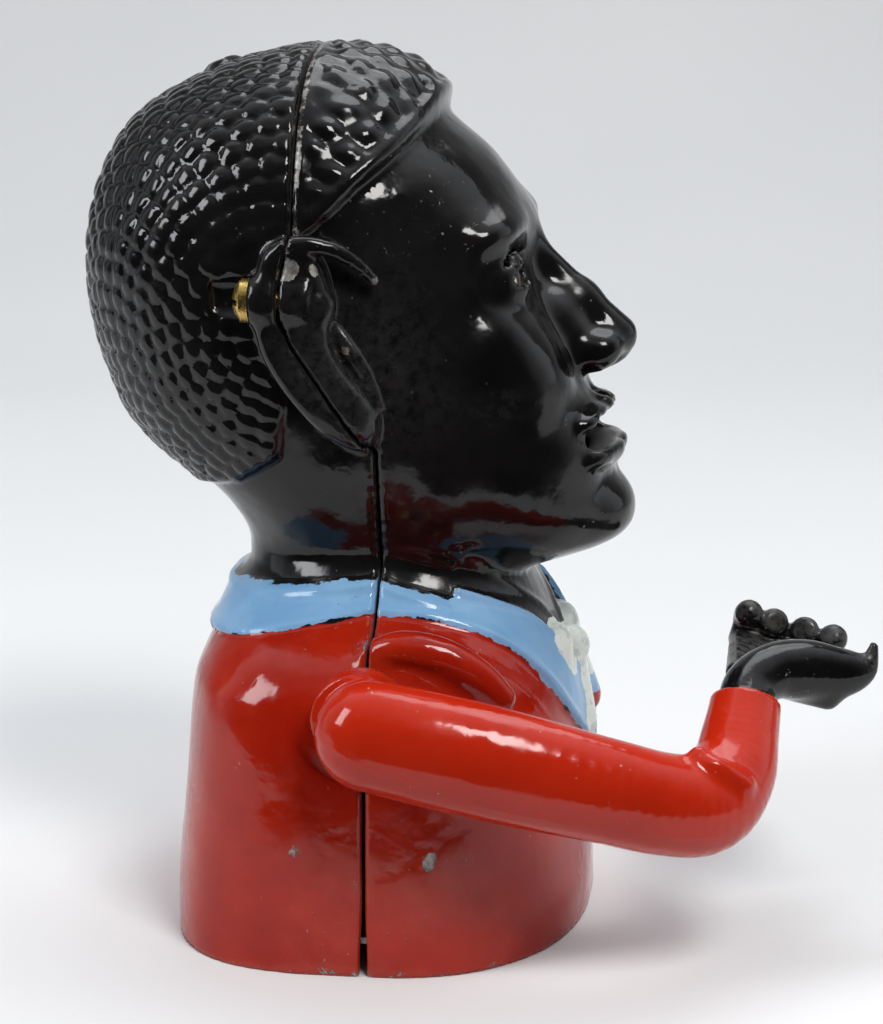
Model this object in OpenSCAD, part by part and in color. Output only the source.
// Mechanical coin bank: a hollow cast bust in two halves whose right arm
// lifts a coin to the mouth when the thumb lever behind the left shoulder
// is pressed, while the tongue tips and the eyes roll up.
// Frame: +X the way the figure faces, +Y to its left, +Z up, origin on the
// resting plane at the middle of the base.

/* [Castings] */
// Wall thickness of the two cast halves
wall = 2.8; // [2.4:0.1:3.2]
// Gap between the halves at the joint line
seam_gap = 0.3; // [0.2:0.1:0.4]
// Extra gap at the foot of the joint line
foot_gap = 0.7; // [0.4:0.1:1]
// How far the head leans back, in degrees
head_tilt = 20; // [19:0.5:21]

/* [Mouth and eyes] */
// Clear width of the coin mouth
mouth_w = 27; // [26:0.5:28]
// Clear height of the coin mouth
mouth_h = 5.8; // [5.4:0.1:6.2]
// Radius of each eyeball
eye_r = 6.4; // [6.2:0.1:6.5]
// Distance between the eyeball centres
eye_gap = 28.8; // [28.4:0.1:29.2]

/* [Arm drive] */
// Angle the arm swings through, in degrees
arm_swing = 45; // [40:1:46]
// Diameter of the cross shaft
shaft_d = 5; // [4.6:0.1:5.2]
// Radius of the crank that the thumb lever drives
drive_r = 12; // [11:0.25:12.5]
// Radius of the crank that pulls the tongue
pull_r = 8; // [7.5:0.1:8.2]
// Radius of the tongue's pulled lever
tongue_r = 10.5; // [10.2:0.1:10.8]
// Radius of the two eye levers
eye_lever_r = 9.5; // [9.3:0.1:9.7]

/* [Base] */
// Height of the underside of the base plate above the table
plate_z = 5; // [4.6:0.1:5.4]
// Thickness of the base plate
plate_t = 1.2; // [1:0.1:1.4]
// Diameter of the coin hole in the base plate
trap_hole_d = 34; // [30:1:35]

/* [Hidden] */
$fn = 48;

black = [0.03, 0.03, 0.035];
red = [0.62, 0.07, 0.04];
steel = [0.55, 0.56, 0.58];
brass = [0.72, 0.55, 0.25];
lead = [0.36, 0.37, 0.4];
ivory = [0.86, 0.83, 0.74];

// Joint line seen from the side, from the foot to the crown, as [x, z].
seam_x = 1.8;
seam = [[seam_x, 30], [seam_x, 90], [-6.9, 103.1], [-11.6, 110], [-13.4, 114.5], [-13.4, 120.5], [-11.8, 128], [-11.8, 170]];

// Head frame: u points the way the face looks, w points to the crown.
head_o = [-7.2, 107.6];
function hp(u, w) = [head_o[0] + u * cos(head_tilt) - w * sin(head_tilt), head_o[1] + u * sin(head_tilt) + w * cos(head_tilt)];

// Shaft, lever, tongue and eye axes, each as [x, z]; they all run along Y.
S = [seam_x, 47.5];
L = [-7, 47.5];
T = hp(27, -38.5);
E = hp(28.5, 0);
half = arm_swing / 2;
lever_half = atan2(drive_r * sin(half), S[0] - L[0] + drive_r * cos(half));
tongue_half = asin(pull_r * sin(half) / tongue_r);
pull_mid = atan2(T[1] - S[1], T[0] - S[0]) + 90;
eye_mid = atan2(E[1] - T[1], E[0] - T[0]) + 90;
function at(c, r, a) = [c[0] + r * cos(a), c[1] + r * sin(a)];
Ps = at(S, pull_r, pull_mid - half);
Pt = at(T, tongue_r, pull_mid - tongue_half);
Pd = at(S, drive_r, -half);
P2 = at(T, eye_lever_r, eye_mid - tongue_half);
Pe = at(E, eye_lever_r, eye_mid - tongue_half);
screw_y = 37.6;
screw_z = 117.5;

// Torso and neck: [z, back x, front x, half width, back power, front power]
body_rows = [
  [0, -36.8, 38.3, 48.5, 3.4, 2.3], [12, -36.7, 38.2, 48.3, 3.4, 2.3], [26, -36.4, 37.8, 48, 3.4, 2.3],
  [38, -35.9, 36.6, 47.5, 3.4, 2.3], [47, -35.1, 34.4, 46.8, 3.3, 2.3], [52, -33.4, 32.2, 45.2, 3.1, 2.3],
  [55.5, -32, 30.4, 42, 2.9, 2.3], [58.5, -30.9, 28.8, 37, 2.6, 2.2], [61, -30, 27.6, 32, 2.4, 2.2],
  [64, -28.3, 27, 28, 2.3, 2.2], [67, -26.8, 27.4, 25, 2.2, 2.2], [72, -29.6, 28, 24, 2.2, 2.2],
  [78, -33, 28, 24, 2.2, 2.2], [86, -36, 26, 25, 2.2, 2.2], [96, -36, 20, 24, 2.2, 2.2]];
// Head: [w, back u, front u, half width, power]
head_rows = [
  [-52.4, 20, 37.4, 7, 2.2], [-49.5, 8, 39.2, 13, 2.4], [-46, -2, 39, 18.5, 2.6], [-41, -14, 37.4, 22.6, 2.7],
  [-35, -24, 38.4, 25.6, 2.8], [-28, -31, 39.2, 28, 2.7], [-20, -36.5, 38.8, 30, 2.5], [-11, -41, 38, 31.6, 2.4],
  [0, -44.2, 38, 33, 2.3], [10, -45, 39.4, 34.2, 2.3], [22, -43.6, 37.6, 34.8, 2.2], [32, -40.4, 33.6, 33.6, 2.2],
  [41, -34.4, 27.6, 30, 2.1], [47, -27.6, 20.8, 25, 2.1], [51, -19.6, 13, 18.4, 2], [53.4, -8, 2, 7, 2]];

function side(x, xb, xf, b, nb, nf, a) = let (c = cos(a), s = sin(a), xm = x, n = c > 0 ? nf : nb, h = c > 0 ? xf - xm : xm - xb,
  k = pow(pow(abs(c) / h, n) + pow(abs(s) / b, n), -1 / n)) [xm + k * c, k * s];

module loft(rings) {
  n = len(rings[0]);
  m = len(rings);
  polyhedron(points = [for (r = rings) each r],
    faces = concat([[for (i = [0 : n - 1]) i]], [for (j = [0 : m - 2]) for (i = [0 : n - 1]) each
      [[j * n + i, (j + 1) * n + i, j * n + (i + 1) % n], [j * n + (i + 1) % n, (j + 1) * n + i, (j + 1) * n + (i + 1) % n]]],
      [[for (i = [n - 1 : -1 : 0]) (m - 1) * n + i]]), convexity = 6);
}
// The torso loft, shrunk by t and cut off at floor z0
module body_form(t, n, z0) {
  rows = [for (r = body_rows) if (t == 0 || r[0] > 0) r];
  all = concat(t == 0 ? [] : [concat([z0], [for (i = [1 : 5]) body_rows[0][i]])], rows);
  loft([for (r = all) let (z = r[0] - (r[0] > 50 && r[0] < 66 ? t * 0.9 : 0)) [for (i = [0 : n - 1]) let (a = 360 * i / n,
    p = side(2, r[1] + t, r[2] - t, r[3] - t, r[4], r[5], a)) [p[0], p[1], z]]]);
}
// The head loft, shrunk by t
module head_form(t, n) {
  rows = t == 0 ? head_rows : [for (r = head_rows) if (r[0] > -50 && r[0] < 50) r];
  translate([head_o[0], 0, head_o[1]]) rotate([0, -head_tilt, 0])
    loft([for (r = rows) let (um = (r[1] + r[2]) / 2, z = t == 0 ? r[0] : r[0] * 0.965 + 0.8) [for (i = [0 : n - 1]) let (a = 360 * i / n,
      p = side(um, r[1] + t, r[2] - t, max(2, r[3] - t), r[4], r[4], a)) [p[0], p[1], z]]]);
}
module in_head() translate([head_o[0], 0, head_o[1]]) rotate([0, -head_tilt, 0]) children();
module blob(p, s) translate(p) scale(s) sphere(1, $fn = 20);
// A round bar between two points
module bar3(a, b, ra, rb) hull() { translate(a) sphere(ra, $fn = 18); translate(b) sphere(rb, $fn = 18); }
// A flat profile in the XZ plane, from y0 and h thick
module xz(y0, h) translate([0, y0 + h, 0]) rotate([90, 0, 0]) linear_extrude(h) children();
// A pin or boss along Y at p = [x, z]
module rod(p, y0, h, r) translate([p[0], y0, p[1]]) rotate([-90, 0, 0]) cylinder(r = r, h = h);
// A flat bar with round ends between two points, w wide
module strap(a, b, w) {
  d = b - a; l = norm(d);
  translate(a) rotate(atan2(d[1], d[0])) translate([0, -w * 0.48]) square([l, w * 0.96]);
  translate(a) circle(d = w); translate(b) circle(d = w);
}

module seam_side(front, g) {
  s = front ? 1 : -1;
  far = front ? 200 : -200;
  pts = [for (p = seam) [p[0] + s * g / 2, p[1]]];
  translate([0, 100, 0]) rotate([90, 0, 0]) linear_extrude(200)
    polygon(concat([[seam_x + s * (g + foot_gap) / 2, -1]], pts, [[far, 170], [far, -1]]));
}
module ear(s) {
  in_head() {
    translate([0.8, s * 33.5, 0]) rotate([s * 8, -2, 0]) difference() {
      union() {
        scale([9, 7.2, 19]) sphere(1, $fn = 28);
        translate([-2, 0, 7.5]) scale([10, 8.2, 10.5]) sphere(1, $fn = 24);
      }
      translate([1.2, s * 9.8, 2]) scale([4.6, 4.6, 10]) sphere(1, $fn = 20);
    }
  }
  // screw boss buried in the ear
  translate([-18.5, s * screw_y, screw_z]) rotate([0, 90, 0]) cylinder(r1 = 3.9, r2 = 4.2, h = 9, $fn = 24);
  translate([-9, s * (screw_y - 0.6), screw_z - 1]) scale([2, 1, 1.1]) sphere(4.3, $fn = 24);
}
module face_forms() in_head() {
  // nose
  hull() { blob([37, 0, 3], [3, 2.6, 3]); blob([41, 0, -12], [4.6, 3.4, 4]); blob([43.6, 0, -17.5], [6, 4.4, 4.4]); blob([38, 0, -18], [4, 8, 4.6]); }
  for (s = [-1, 1]) {
    // brows, eyelids and cheeks
    blob([32.4, s * 12.4, 9], [5.6, 12, 4.2]);
    blob([28.5, s * eye_gap / 2, 0], [8.1, 8.5, 8.1]);
    blob([29, s * 15.4, -15], [5.6, 9.6, 10]);
  }
  // lips
  blob([36.6, 0, -28.6], [6, 15.6, 3.4]);
  blob([36, 0, -36.4], [5.8, 14.4, 3.6]);
  // chin
  blob([34.6, 0, -47], [5.6, 9.5, 5.4]);
}
module hair_cap() in_head() difference() {
  scale([1.035, 1.04, 1.02]) translate([0, 0, 0]) intersection() {
    loft([for (r = head_rows) if (r[0] > -20) let (um = (r[1] + r[2]) / 2) [for (i = [0 : 39]) let (a = 9 * i, p = side(um, r[1], r[2], r[3], r[4], r[4], a)) [p[0], p[1], r[0]]]]);
    // behind and above the hairline
    translate([0, 60, 0]) rotate([90, 0, 0]) linear_extrude(120) polygon([[31, 33], [31, 70], [-60, 70], [-60, -16], [-28, -19], [-11, -8], [-6, 12], [8, 18], [20, 26]]);
  }
}
module collar_form() {
  // shirt collar standing round the neck and the shirt front below it
  intersection() {
    loft([for (r = [[55, -32.6, 32.4, 43], [58.5, -31.8, 30.2, 38.4], [62, -30.4, 29, 31.6], [65.6, -29.6, 29, 28.4], [66.6, -28.4, 28.2, 27]])
      [for (i = [0 : 39]) let (p = side(2, r[1], r[2], r[3], 2.5, 2.2, 9 * i)) [p[0], p[1], r[0]]]]);
    translate([0, 60, 0]) rotate([90, 0, 0]) linear_extrude(120) polygon([[-40, 55], [2, 61], [14, 58], [40, 30], [40, 58], [20, 61.5], [2, 67], [-40, 67]]);
  }
}
module bow_form() {
  for (s = [-1, 1]) {
    blob([33.2, s * 6.4, 48.6], [4, 7, 4.4]);
    blob([36.8, s * 4, 39], [3, 3.2, 7]);
  }
  blob([35.6, 0, 47.6], [3.6, 3.4, 3.4]);
}
// The whole hollow bust before the halves are parted
module bust_shell(front) resize([0, 0, 0]) intersection() {
  difference() {
    union() {
      difference() {
        union() {
          body_form(0, 44, 0);
          head_form(0, 40);
          hair_cap();
          collar_form();
          if (front) { face_forms(); bow_form(); }
          ear(1); ear(-1);
          left_sleeve();
        }
        body_form(wall, 32, -1);
        head_form(wall, 30);
      }
      // inside bosses
      intersection() { union() { if (front) front_bosses(); else back_bosses(); }
        union() { body_form(0.8, 32, 0.5); head_form(0.8, 30); } }
      for (s = [-1, 1]) rod(S, s > 0 ? 40.4 : -46, s > 0 ? 5.4 : 6.4, 5.6, $fn = 28);
    }
    if (front) {
      // coin mouth and eye windows
      in_head() {
        translate([30, -mouth_w / 2 + mouth_h / 2, -32.4 - mouth_h / 2]) cube([30, mouth_w - mouth_h, mouth_h]);
        for (s = [-1, 1]) translate([30, s * (mouth_w - mouth_h) / 2, -32.4]) rotate([0, 90, 0]) cylinder(d = mouth_h, h = 30, $fn = 20);
        for (s = [-1, 1]) translate([30, s * eye_gap / 2, 0]) rotate([0, 90, 0]) scale([2.5, 5.9, 1]) cylinder(r = 1, h = 20, $fn = 24);
        for (s = [-1, 1]) translate([28.5, s * eye_gap / 2, 0]) sphere(eye_r + 0.5, $fn = 32);
      }
    }
    // flat round seat for the arm
    rod(S, -60, 14.4, 13, $fn = 40);
  }
  seam_side(front, seam_gap);
}
// Left sleeve, cast in one with the side of the body
module left_sleeve() intersection() {
  union() { arm_bar([3, 41.5, 48], 9.4, [5, 43.5, 30], 9); arm_bar([5, 43.5, 30], 9, [17, 41.5, 8], 8); }
  translate([-60, 0, 0]) cube([120, 60, 70]);
}
module arm_bar(a, ra, b, rb) hull() { translate(a) sphere(ra, $fn = 20); translate(b) sphere(rb, $fn = 20); }
module front_bosses() {
  // tongue pin lugs and eye shaft lugs
  for (s = [-1, 1]) {
    rod(T, s > 0 ? 16.2 : -22.2, 6, 3.6, $fn = 24);
    in_head() translate([28.5, s > 0 ? 5.4 : -7.4, -3.2]) cube([14, 2, 6.4]);
    rod(E, s > 0 ? 5.4 : -7.4, 2, 3.2, $fn = 24);
  }
  translate([30, 0, plate_z + plate_t]) { cylinder(r = 4, h = 12, $fn = 24); translate([0, -4, 0]) cube([9, 8, 12]); }
}
module back_bosses() {
  for (y = [24.6, 30.3]) xz(y, 2) { polygon([[L[0], L[1] + 4], [L[0], L[1] - 4], [-33, 43.6], [-33, 47.6]]); translate(L) circle(4, $fn = 24); }
  translate([-27.6, 0, plate_z + plate_t]) { cylinder(r = 4, h = 12, $fn = 24); translate([-9, -4, 0]) cube([9, 8, 12]); }
}

module front_casting() color(black) difference() {
  bust_shell(true);
  for (s = [-1, 1]) translate([-16, s * screw_y, screw_z]) rotate([0, 90, 0]) cylinder(r = 1.5, h = 10.2);
  rod(S, -60, 104.3, shaft_d / 2 + 0.06);
  rod(T, -18.6, 37.2, 1.25);
  rod(E, -9, 18, 1.56);
  // the eye shaft drops in from behind
  in_head() translate([22, -9, -1.56]) cube([6.5, 18, 3.12]);
  translate([30, 0, plate_z]) cylinder(r = 1.25, h = 10);
}
module back_casting() color(black) difference() {
  bust_shell(false);
  for (s = [-1, 1]) translate([-21, s * screw_y, screw_z]) rotate([0, 90, 0]) cylinder(r = 1.9, h = 10);
  for (s = [-1, 1]) translate([-33.5, s * screw_y, screw_z]) rotate([0, 90, 0]) cylinder(r = 4.1, h = 15);
  rod(S, -60, 104.3, shaft_d / 2 + 0.06);
  rod(L, 22, 12, 1.5);
  // slot for the thumb lever
  translate([-42, 26.5, 25.4]) cube([14.6, 3.8, 22.8]);
  translate([-27.6, 0, plate_z]) cylinder(r = 1.25, h = 10);
}
module ear_screws() color(brass) for (s = [-1, 1]) translate([0, s * screw_y, screw_z]) rotate([0, 90, 0]) difference() {
  union() {
    translate([0, 0, -18.5]) cylinder(r = 1.75, h = 4.7);
    translate([0, 0, -13.8]) cylinder(r = 1.48, h = 7);
    intersection() { translate([0, 0, -21.6]) cylinder(r = 3.8, h = 3.1); translate([0, 0, -16.4]) sphere(r = 5.2); }
  }
  translate([-0.5, -4, -22]) cube([1, 8, 1.8]);
}

module base_plate() color(steel) translate([0, 0, plate_z]) difference() {
  linear_extrude(plate_t) difference() {
    polygon([for (i = [0 : 71]) side(2, -36.8 + wall + 0.8, 38.3 - wall - 0.8, 48.5 - wall - 0.8, 3.4, 2.3, 5 * i)]);
  }
  translate([2, 0, -1]) cylinder(d = trap_hole_d, h = 4);
  translate([2 - 4.6, -23.5, -1]) cube([9.2, 47, 4]);
  for (x = [30, -27.6]) translate([x, 0, -1]) cylinder(r = 1.7, h = 4);
}
module base_screws() color(steel) for (x = [30, -27.6]) translate([x, 0, plate_z]) difference() {
  union() { cylinder(r = 1.22, h = 8); translate([0, 0, -1.8]) cylinder(r = 3, h = 1.8); }
  translate([-0.4, -4, -2]) cube([0.8, 8, 1]);
}
// Coin trap: a cover that a quarter turn frees
module trap_cover() color(steel) translate([2, 0, 0]) difference() {
  union() {
    translate([0, 0, plate_z - 1.4]) cylinder(r = 24.6, h = 1.2);
    translate([0, 0, plate_z - 1.4]) cylinder(r = trap_hole_d / 2 - 0.4, h = 2.8);
    translate([-11, -1.5, plate_z - 3.6]) cube([22, 3, 2.4]);
  }
  translate([0, 0, 0]) cylinder(r = 1.55, h = 12);
}
module trap_bar() color(steel) translate([2, 0, plate_z + plate_t + 0.25]) difference() {
  union() { translate([-22.4, -4, 0]) cube([44.8, 8, 1.4]); }
  translate([0, 0, -1]) cylinder(r = 1.55, h = 12);
}
module trap_rivet() color(brass) translate([2, 0, 0]) {
  translate([0, 0, plate_z - 3.6]) cylinder(r = 1.5, h = 3.6 + plate_t + 1.65);
  translate([0, 0, plate_z + plate_t + 1.65]) cylinder(r = 2.8, h = 1);
}

// Sleeve, forearm and cupped hand in one casting
module arm_casting() color(red) difference() {
  resize([0, 0, 0]) union() {
    arm_seg([2.8, -54.4, 47.3], 9.7, [26, -54, 40.5], 10.3);
    arm_seg([26, -54, 40.5], 10.3, [45, -49, 34.5], 9.8);
    arm_seg([45, -49, 34.5], 9.8, [63, -40, 31], 8.6);
    arm_seg([63, -40, 31], 8.4, [67, -26, 44], 6.4);
    hull() { translate([67, -26, 44]) sphere(5.4, $fn = 18); translate([68, -17, 47.5]) sphere(4, $fn = 18); translate([76, -14, 46.5]) sphere(3.6, $fn = 18); }
    hull() for (p = [[66.5, -16, 48.4], [77, -15, 46], [66, 9, 48.6], [84, 9, 43.4], [82, -8, 44.6]]) translate(p) sphere(2.3, $fn = 16);
    for (i = [0 : 3]) finger([66 + 5.7 * i, 7, 48.2 - 1.6 * i], [66 + 5.9 * i, 13.4, 50.8 - 1.5 * i]);
    rod3([78, -13, 46.6], [86, -9, 45.4], 3.4, 3); rod3([86, -9, 45.4], [88.6, -7.4, 49], 3, 1.8);
    rod(S, -48, 8, 8, $fn = 32);
  }
  rod(S, -58, 20, shaft_d / 2);
  // flat inner face that turns on the washer
  translate([-12, -46.2, 20]) cube([32, 12, 45]);
}
module arm_seg(a, ra, b, rb) hull() {
  translate(a) scale([1, 0.78, 1]) sphere(ra, $fn = 26);
  translate(b) scale([1, 0.82, 1]) sphere(rb, $fn = 26);
}
module rod3(a, b, ra, rb) { d = b - a; translate(a) sphere(ra, $fn = 16); translate(b) sphere(rb, $fn = 16);
  translate(a) rotate([0, acos(d[2] / norm(d)), atan2(d[1], d[0])]) cylinder(r1 = ra, r2 = rb, h = norm(d), $fn = 16); }
module finger(a, b) rod3(a, b, 2.9, 2.7);

module cross_shaft() color(steel) difference() {
  rod(S, -58, 102, shaft_d / 2);
  for (y = [20.3, 8.7]) translate([S[0] - 5, y, S[1]]) rotate([0, 90, 0]) cylinder(r = 0.8, h = 10);
}
module shoulder_washer() color(brass) difference() { rod(S, -46.2, 0.6, 8); rod(S, -47, 2, shaft_d / 2 + 0.08); }
// Crank with a hub on the shaft; the hub is cross-pinned at y - 2.5
module crank(r, a, y, h, pin_r, tip) difference() {
  union() {
    xz(y, h) union() {
      translate(S) rotate(a) translate([0, -2.6]) square([r, 5.2]);
      translate(at(S, r, a)) circle(tip);
    }
    rod(S, y - 5, 5 + h, 4.6);
  }
  rod(S, y - 6, h + 8, shaft_d / 2);
  rod(at(S, r, a), y - 1, h + 2, pin_r);
  translate([S[0] - 10, y - 2.5, S[1]]) rotate([0, 90, 0]) cylinder(r = 0.8, h = 20);
}
module drive_crank() color(steel) crank(drive_r, -half, 22.8, 2.4, 1.25, 2.6);
module drive_crank_pin() color(steel) rod(Pd, 22.8, 7.2, 1.25);
module pull_crank() color(steel) crank(pull_r, pull_mid - half, 11.2, 2.2, 1, 2.4);
module pull_crank_pin() color(steel) rod(Ps, 11.2, 5.2, 1);
module crank_cross_pins() color(brass) for (y = [20.3, 8.7]) translate([S[0] - 5, y, S[1]]) rotate([0, 90, 0]) cylinder(r = 0.8, h = 10);
module shaft_collar() color(brass) difference() { rod(S, -39.2, 3, 4.6); rod(S, -40, 6, shaft_d / 2); }

module thumb_lever() color(steel) translate([L[0], 0, L[1]]) rotate([0, lever_half, 0]) difference() {
  union() {
    xz(27.2, 2.4) {
      circle(3.8);
      rotate(20) translate([-28, -2.1]) square([28, 4.2]);
      polygon([[-3.4, 1], [-2, -9.6], [14, -9.8], [24, -2.6], [24, 2.6], [17.4, 2.6], [16, -1.6], [11.6, -5.2], [3.2, -5.2], [3.4, 1]]);
    }
    translate([-29.3 * cos(20), 26.9, -29.3 * sin(20)]) rotate([-90, 0, 0]) cylinder(r = 3.4, h = 3);
  }
  rod([0, 0], 26, 5, 1.55);
  xz(26, 5) { translate([19.4, -1.4]) square([3.2, 2.8]); translate([19.4, 0]) circle(1.44); translate([22.6, 0]) circle(1.44); }
}
module lever_pin() color(steel) rod(L, 24.2, 8.6, 1.5);

module link(a, b, y) difference() {
  xz(y, 1.2) strap(a, b, 4.4);
  for (p = [a, b]) rod(p, y - 1, 4, 1.3);
}
module lift_link() color(steel) link(Ps, Pt, 14.2);
module eye_link() color(steel) link(P2, Pe, -15.4);

module tongue() color([0.45, 0.09, 0.08]) translate([T[0], 0, T[1]]) difference() {
  union() {
    rod([0, 0], -12.4, 24.8, 2.7);
    // plate, a little raised at the rear
    rotate([0, -(185 - 180), 0]) translate([-22, 0, 0]) {
      translate([0.3, -11.3, 0.7]) cube([22.2, 22.6, 2]);
      translate([0, 0, 0.7]) scale([0.5, 1, 1]) cylinder(r = 11.5, h = 2);
    }
    xz(12.4, 1.5) { strap([0, 0], Pt - T, 4.6); circle(3); }
    xz(-13.9, 1.5) { strap([0, 0], P2 - T, 4.6); circle(3); }
  }
  rod([0, 0], -16, 32, 1.3);
  rod(Pt - T, 12, 3, 1);
  rod(P2 - T, -14.5, 3, 1);
}
module tongue_pin() color(steel) rod(T, -18.5, 37, 1.25);
module tongue_lift_pin() color(steel) rod(Pt, 12.4, 3.4, 1);
module tongue_eye_pin() color(steel) rod(P2, -15.8, 3.4, 1);

module eyeball(s) color(ivory) difference() {
  translate([E[0], s * eye_gap / 2, E[1]]) sphere(eye_r, $fn = 40);
  rod(E, s > 0 ? 6 : -18.4, 12.4, 1.5);
}
module right_eye() eyeball(-1);
module left_eye() eyeball(1);
module eye_shaft() color(steel) rod(E, -18.4, 36.8, 1.5);
module eye_crank() color(steel) translate([0, 0, 0]) difference() {
  xz(-4.4, 1.8) { strap(E, Pe, 4.4); translate(E) circle(3.4); strap(E, at(E, 11, 236), 3); }
  rod(E, -6, 5, 1.5);
  rod(Pe, -6, 5, 1);
}
module eye_crank_pin() color(steel) rod(Pe, -15.8, 13.2, 1);
module eye_weight() color(lead) difference() {
  w = at(E, 13, 236);
  rod(w, -6.7, 6.4, 4);
  xz(-4.4, 1.8) strap(E, at(E, 11, 236), 3);
}
// Small strips that close the open side of the eye shaft lugs
module shaft_keepers() color(brass) for (s = [-1, 1]) translate([E[0], s > 0 ? 5.4 : -7.4, E[1]]) rotate([0, -head_tilt, 0])
  translate([-4.3, 0, -3.2]) cube([1.1, 2, 6.4]);

front_casting();
back_casting();
ear_screws();
base_plate();
base_screws();
trap_cover();
trap_bar();
trap_rivet();
arm_casting();
cross_shaft();
shoulder_washer();
drive_crank();
drive_crank_pin();
pull_crank();
pull_crank_pin();
crank_cross_pins();
shaft_collar();
thumb_lever();
lever_pin();
lift_link();
tongue();
tongue_pin();
tongue_lift_pin();
tongue_eye_pin();
eye_link();
right_eye();
left_eye();
eye_shaft();
eye_crank();
eye_crank_pin();
eye_weight();
shaft_keepers();
